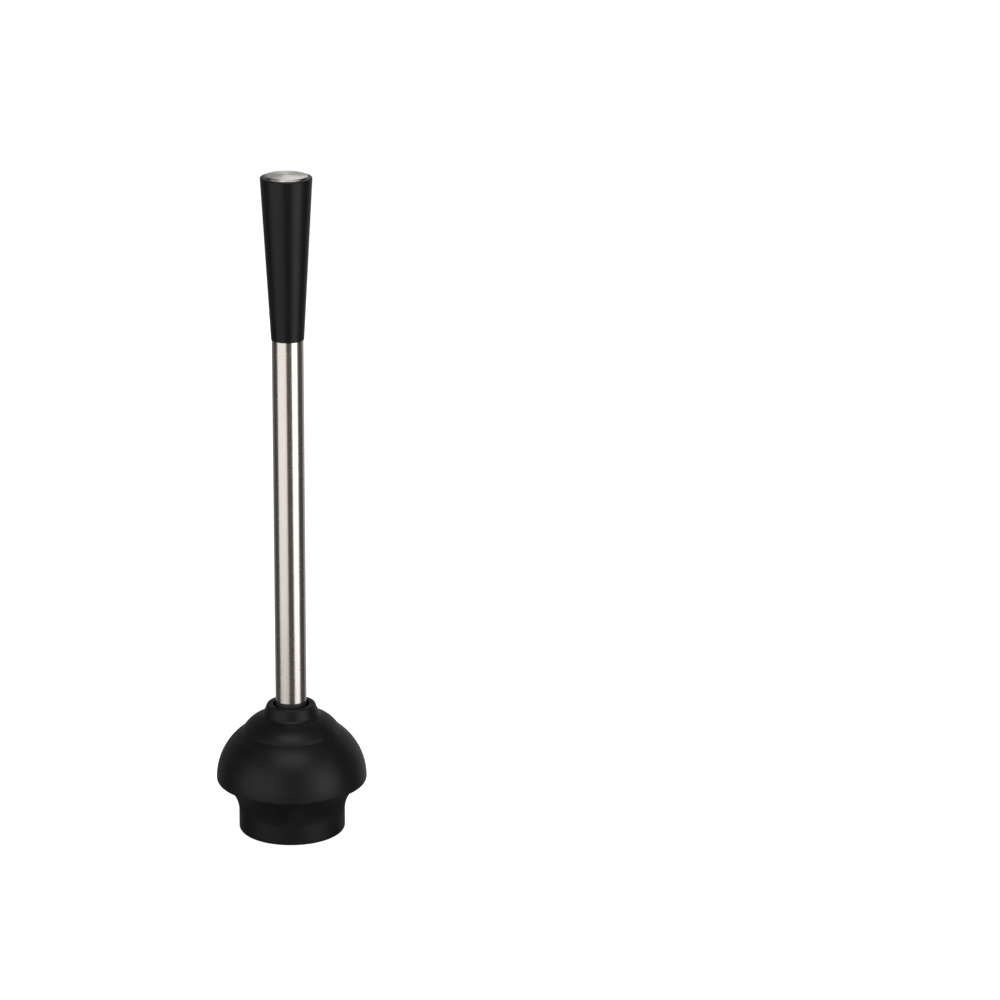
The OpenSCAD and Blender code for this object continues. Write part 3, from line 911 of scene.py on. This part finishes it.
join(lines, scratch.outputs[0], lines_out.inputs["Height"])
print("group:", lines.name)


# %% Helper: a material with its groups
def new_material(name, metallic=0.0, specular=0.5):
    """Material with a Principled shader, and its tree and shader to work on."""
    material = bpy.data.materials.new(name)
    material.use_nodes = True
    tree = material.node_tree
    shader = tree.nodes["Principled BSDF"]
    shader.inputs["Metallic"].default_value = metallic
    shader.inputs["Specular IOR Level"].default_value = specular
    return material, tree, shader


def use(tree, group, **values):
    """Places the group in the material. Values are its inputs, with _ for a space."""
    node = add(tree, "ShaderNodeGroup", node_tree=group)
    for key, value in values.items():
        socket = node.inputs[key.replace("_", " ")]
        if isinstance(value, (int, float)):
            socket.default_value = value
        else:
            join(tree, value, socket)
    return node


def mix_colour(tree, amount, a, b):
    """Colour a where amount is 0, b where it is 1. a and b are colours or sockets."""
    node = add(tree, "ShaderNodeMix", data_type="RGBA")
    join(tree, amount, node.inputs[0])
    for number, value in ((6, a), (7, b)):
        if isinstance(value, tuple):
            node.inputs[number].default_value = (*value, 1)
        else:
            join(tree, value, node.inputs[number])
    return node.outputs[2]


def bump(tree, height, depth, shader, under=None):
    """Bump whose height 0..1 stands for this depth in metres. under is a bump below it."""
    node = add(tree, "ShaderNodeBump", {"Strength": 1.0, "Distance": depth})
    join(tree, height, node.inputs["Height"])
    if under is not None:
        join(tree, under.outputs[0], node.inputs["Normal"])
    join(tree, node.outputs[0], shader.inputs["Normal"])
    return node


print("material helpers:", new_material.__name__, use.__name__, mix_colour.__name__, bump.__name__)

# %% A moulded finish
SCUFF_SHINE = -0.05
SPECKLE_DULL = 0.04
DUST_DULL = 0.2
RUBBED_TIMES = 2.2
RUBBED_AMOUNT = 0.8
WAVES_PER_METRE = 70.0
WAVE_DEPTH = 0.05 * MM


def moulded(name, dark, light, rough, grains, depth, patches, dust_colour, cover, specular):
    """A moulded rubber or plastic: two close colours in patches, dust on top, rubbed edges,
    and a grain that both bumps the surface and breaks up its gloss. rough is a pair."""
    material, tree, shader = new_material(name, specular=specular)
    mould = use(tree, grain, Grains_per_metre=grains)
    worn = use(tree, marks, Patches_per_metre=patches)
    dusting = use(tree, dust, Cover=cover)
    edges = use(tree, rubbed, Amount=RUBBED_AMOUNT)
    colour = mix_colour(tree, worn.outputs["Patches"], dark, light)
    rubbed_colour = tuple(RUBBED_TIMES * c for c in light)
    colour = mix_colour(tree, edges.outputs["Rubbed"], colour, rubbed_colour)
    colour = mix_colour(tree, dusting.outputs["Dust"], colour, dust_colour)
    join(tree, colour, shader.inputs["Base Color"])
    gloss = between(tree, worn.outputs["Patches"], 0, 1, *rough)
    for mask, change in ((worn.outputs["Scuffs"], SCUFF_SHINE),
                         (mould.outputs["Speckle"], SPECKLE_DULL),
                         (dusting.outputs["Dust"], DUST_DULL)):
        gloss = calculate(tree, "ADD", gloss, calculate(tree, "MULTIPLY", mask, change))
    join(tree, gloss, shader.inputs["Roughness"])
    wave = add(tree, "ShaderNodeTexNoise", {"Scale": WAVES_PER_METRE, "Detail": 2.0})
    place = add(tree, "ShaderNodeTexCoord")
    join(tree, place.outputs["Object"], wave.inputs["Vector"])
    slow_bump = bump(tree, wave.outputs[0], WAVE_DEPTH, shader)
    bump(tree, mould.outputs["Height"], depth, shader, under=slow_bump)
    print(f"material {name}: roughness {rough[0]:.2f} to {rough[1]:.2f}")
    return material


# %% Rubber and plastics
cup_rubber = moulded(
    "cup rubber", dark=(0.0024, 0.0023, 0.0023), light=(0.0044, 0.0042, 0.0040),
    rough=(0.38, 0.46), grains=1600, depth=0.012 * MM, patches=30,
    dust_colour=(0.09, 0.088, 0.083), cover=0.05, specular=0.23)
seal_rubber = moulded(
    "seal rubber", dark=(0.010, 0.010, 0.010), light=(0.014, 0.014, 0.014),
    rough=(0.55, 0.65), grains=2500, depth=0.01 * MM, patches=60,
    dust_colour=(0.05, 0.05, 0.05), cover=0.05, specular=0.35)
grip_plastic = moulded(
    "grip plastic", dark=(0.0012, 0.0012, 0.0012), light=(0.0024, 0.0024, 0.0023),
    rough=(0.36, 0.42), grains=3000, depth=0.010 * MM, patches=40,
    dust_colour=(0.07, 0.07, 0.07), cover=0.03, specular=0.235)
inner_plastic = moulded(
    "inner plastic", dark=(0.012, 0.012, 0.012), light=(0.018, 0.018, 0.018),
    rough=(0.38, 0.5), grains=2000, depth=0.008 * MM, patches=60,
    dust_colour=(0.05, 0.05, 0.05), cover=0.02, specular=0.4)


# %% Steels
FINE_SHARE = 0.6
BROAD_SHARE = 0.4
BROAD_SPACING = 9
LINE_DULL = 0.04
FINGER_PATCHES = 38.0

def steel(name, disc, dark, light, rough, anisotropy, spacing, length, depth):
    """Polished stainless: lines round the axis shade its colour and roughness a little and
    cut fine grooves, and finger marks dull it in patches. On a disc the lines are spaced by
    radius, on a tube by height. The shader's own anisotropy smears a reflection across the
    lines, as grooves too fine to draw do."""
    material, tree, shader = new_material(name, metallic=1.0)
    place = add(tree, "ShaderNodeTexCoord")
    parts = add(tree, "ShaderNodeSeparateXYZ")
    join(tree, place.outputs["Object"], parts.inputs[0])
    if disc:
        flat = add(tree, "ShaderNodeVectorMath", {1: (1, 1, 0)}, operation="MULTIPLY")
        join(tree, place.outputs["Object"], flat.inputs[0])
        reach = add(tree, "ShaderNodeVectorMath", operation="LENGTH")
        join(tree, flat.outputs[0], reach.inputs[0])
        across = reach.outputs["Value"]
    else:
        across = parts.outputs["Z"]
    fine_lines = use(tree, lines, Across=across, Lines_per_metre=spacing, Length=length)
    broad_lines = use(tree, lines, Across=across, Lines_per_metre=spacing / BROAD_SPACING, Length=length / 2)
    worn = use(tree, marks, Patches_per_metre=FINGER_PATCHES)
    mixed = calculate(tree, "ADD", calculate(tree, "MULTIPLY", fine_lines.outputs["Line"], FINE_SHARE),
                      calculate(tree, "MULTIPLY", broad_lines.outputs["Line"], BROAD_SHARE))
    colour = mix_colour(tree, mixed, dark, light)
    join(tree, colour, shader.inputs["Base Color"])
    dull = between(tree, worn.outputs["Patches"], 0, 1, rough[0], rough[1])
    join(tree, calculate(tree, "ADD", dull, calculate(tree, "MULTIPLY", mixed, LINE_DULL)),
         shader.inputs["Roughness"])
    shader.inputs["Anisotropic"].default_value = anisotropy
    shader.inputs["Anisotropic Rotation"].default_value = 0.25
    grooves = add(tree, "ShaderNodeTangent", direction_type="RADIAL", axis="Z")
    join(tree, grooves.outputs[0], shader.inputs["Tangent"])
    bump(tree, fine_lines.outputs["Height"], depth, shader)
    print(f"material {name}: roughness {rough[0]:.2f} to {rough[1]:.2f}")
    return material


tube_steel = steel("tube steel", False, (0.636, 0.594, 0.538), (0.662, 0.618, 0.561),
                   (0.23, 0.25), 0.6, 2600, 2.5, 0.00004 * MM)
cap_steel = steel("cap steel", True, (0.54, 0.52, 0.482), (0.69, 0.667, 0.617),
                  (0.26, 0.32), 0.8, 3200, 3.5, 0.0015 * MM)
screw_steel = steel("screw steel", True, (0.38, 0.385, 0.39), (0.5, 0.5, 0.5),
                    (0.3, 0.4), 0.3, 2500, 2.0, 0.001 * MM)

# %% [markdown]
# Each piece gets its finish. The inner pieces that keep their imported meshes, such as the
# screw, are out of sight, but they get the finish of their material slot like the rest.

# %% Give every piece its finish
finishes = {
    "cup_rubber": cup_rubber, "seal_rubber": seal_rubber, "grip_plastic": grip_plastic,
    "inner_plastic": inner_plastic, "tube_steel": tube_steel, "cap_steel": cap_steel,
    "screw_steel": screw_steel}
slot_of = {row["node"]: row["material_slot"] for row in frame["record"]["subparts"]}
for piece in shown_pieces():
    slot_name = piece.get("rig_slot") or slot_of[piece["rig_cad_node"]]
    piece.data.materials.clear()
    piece.data.materials.append(finishes[slot_name])
    print(f"{piece.name}: {slot_name}")
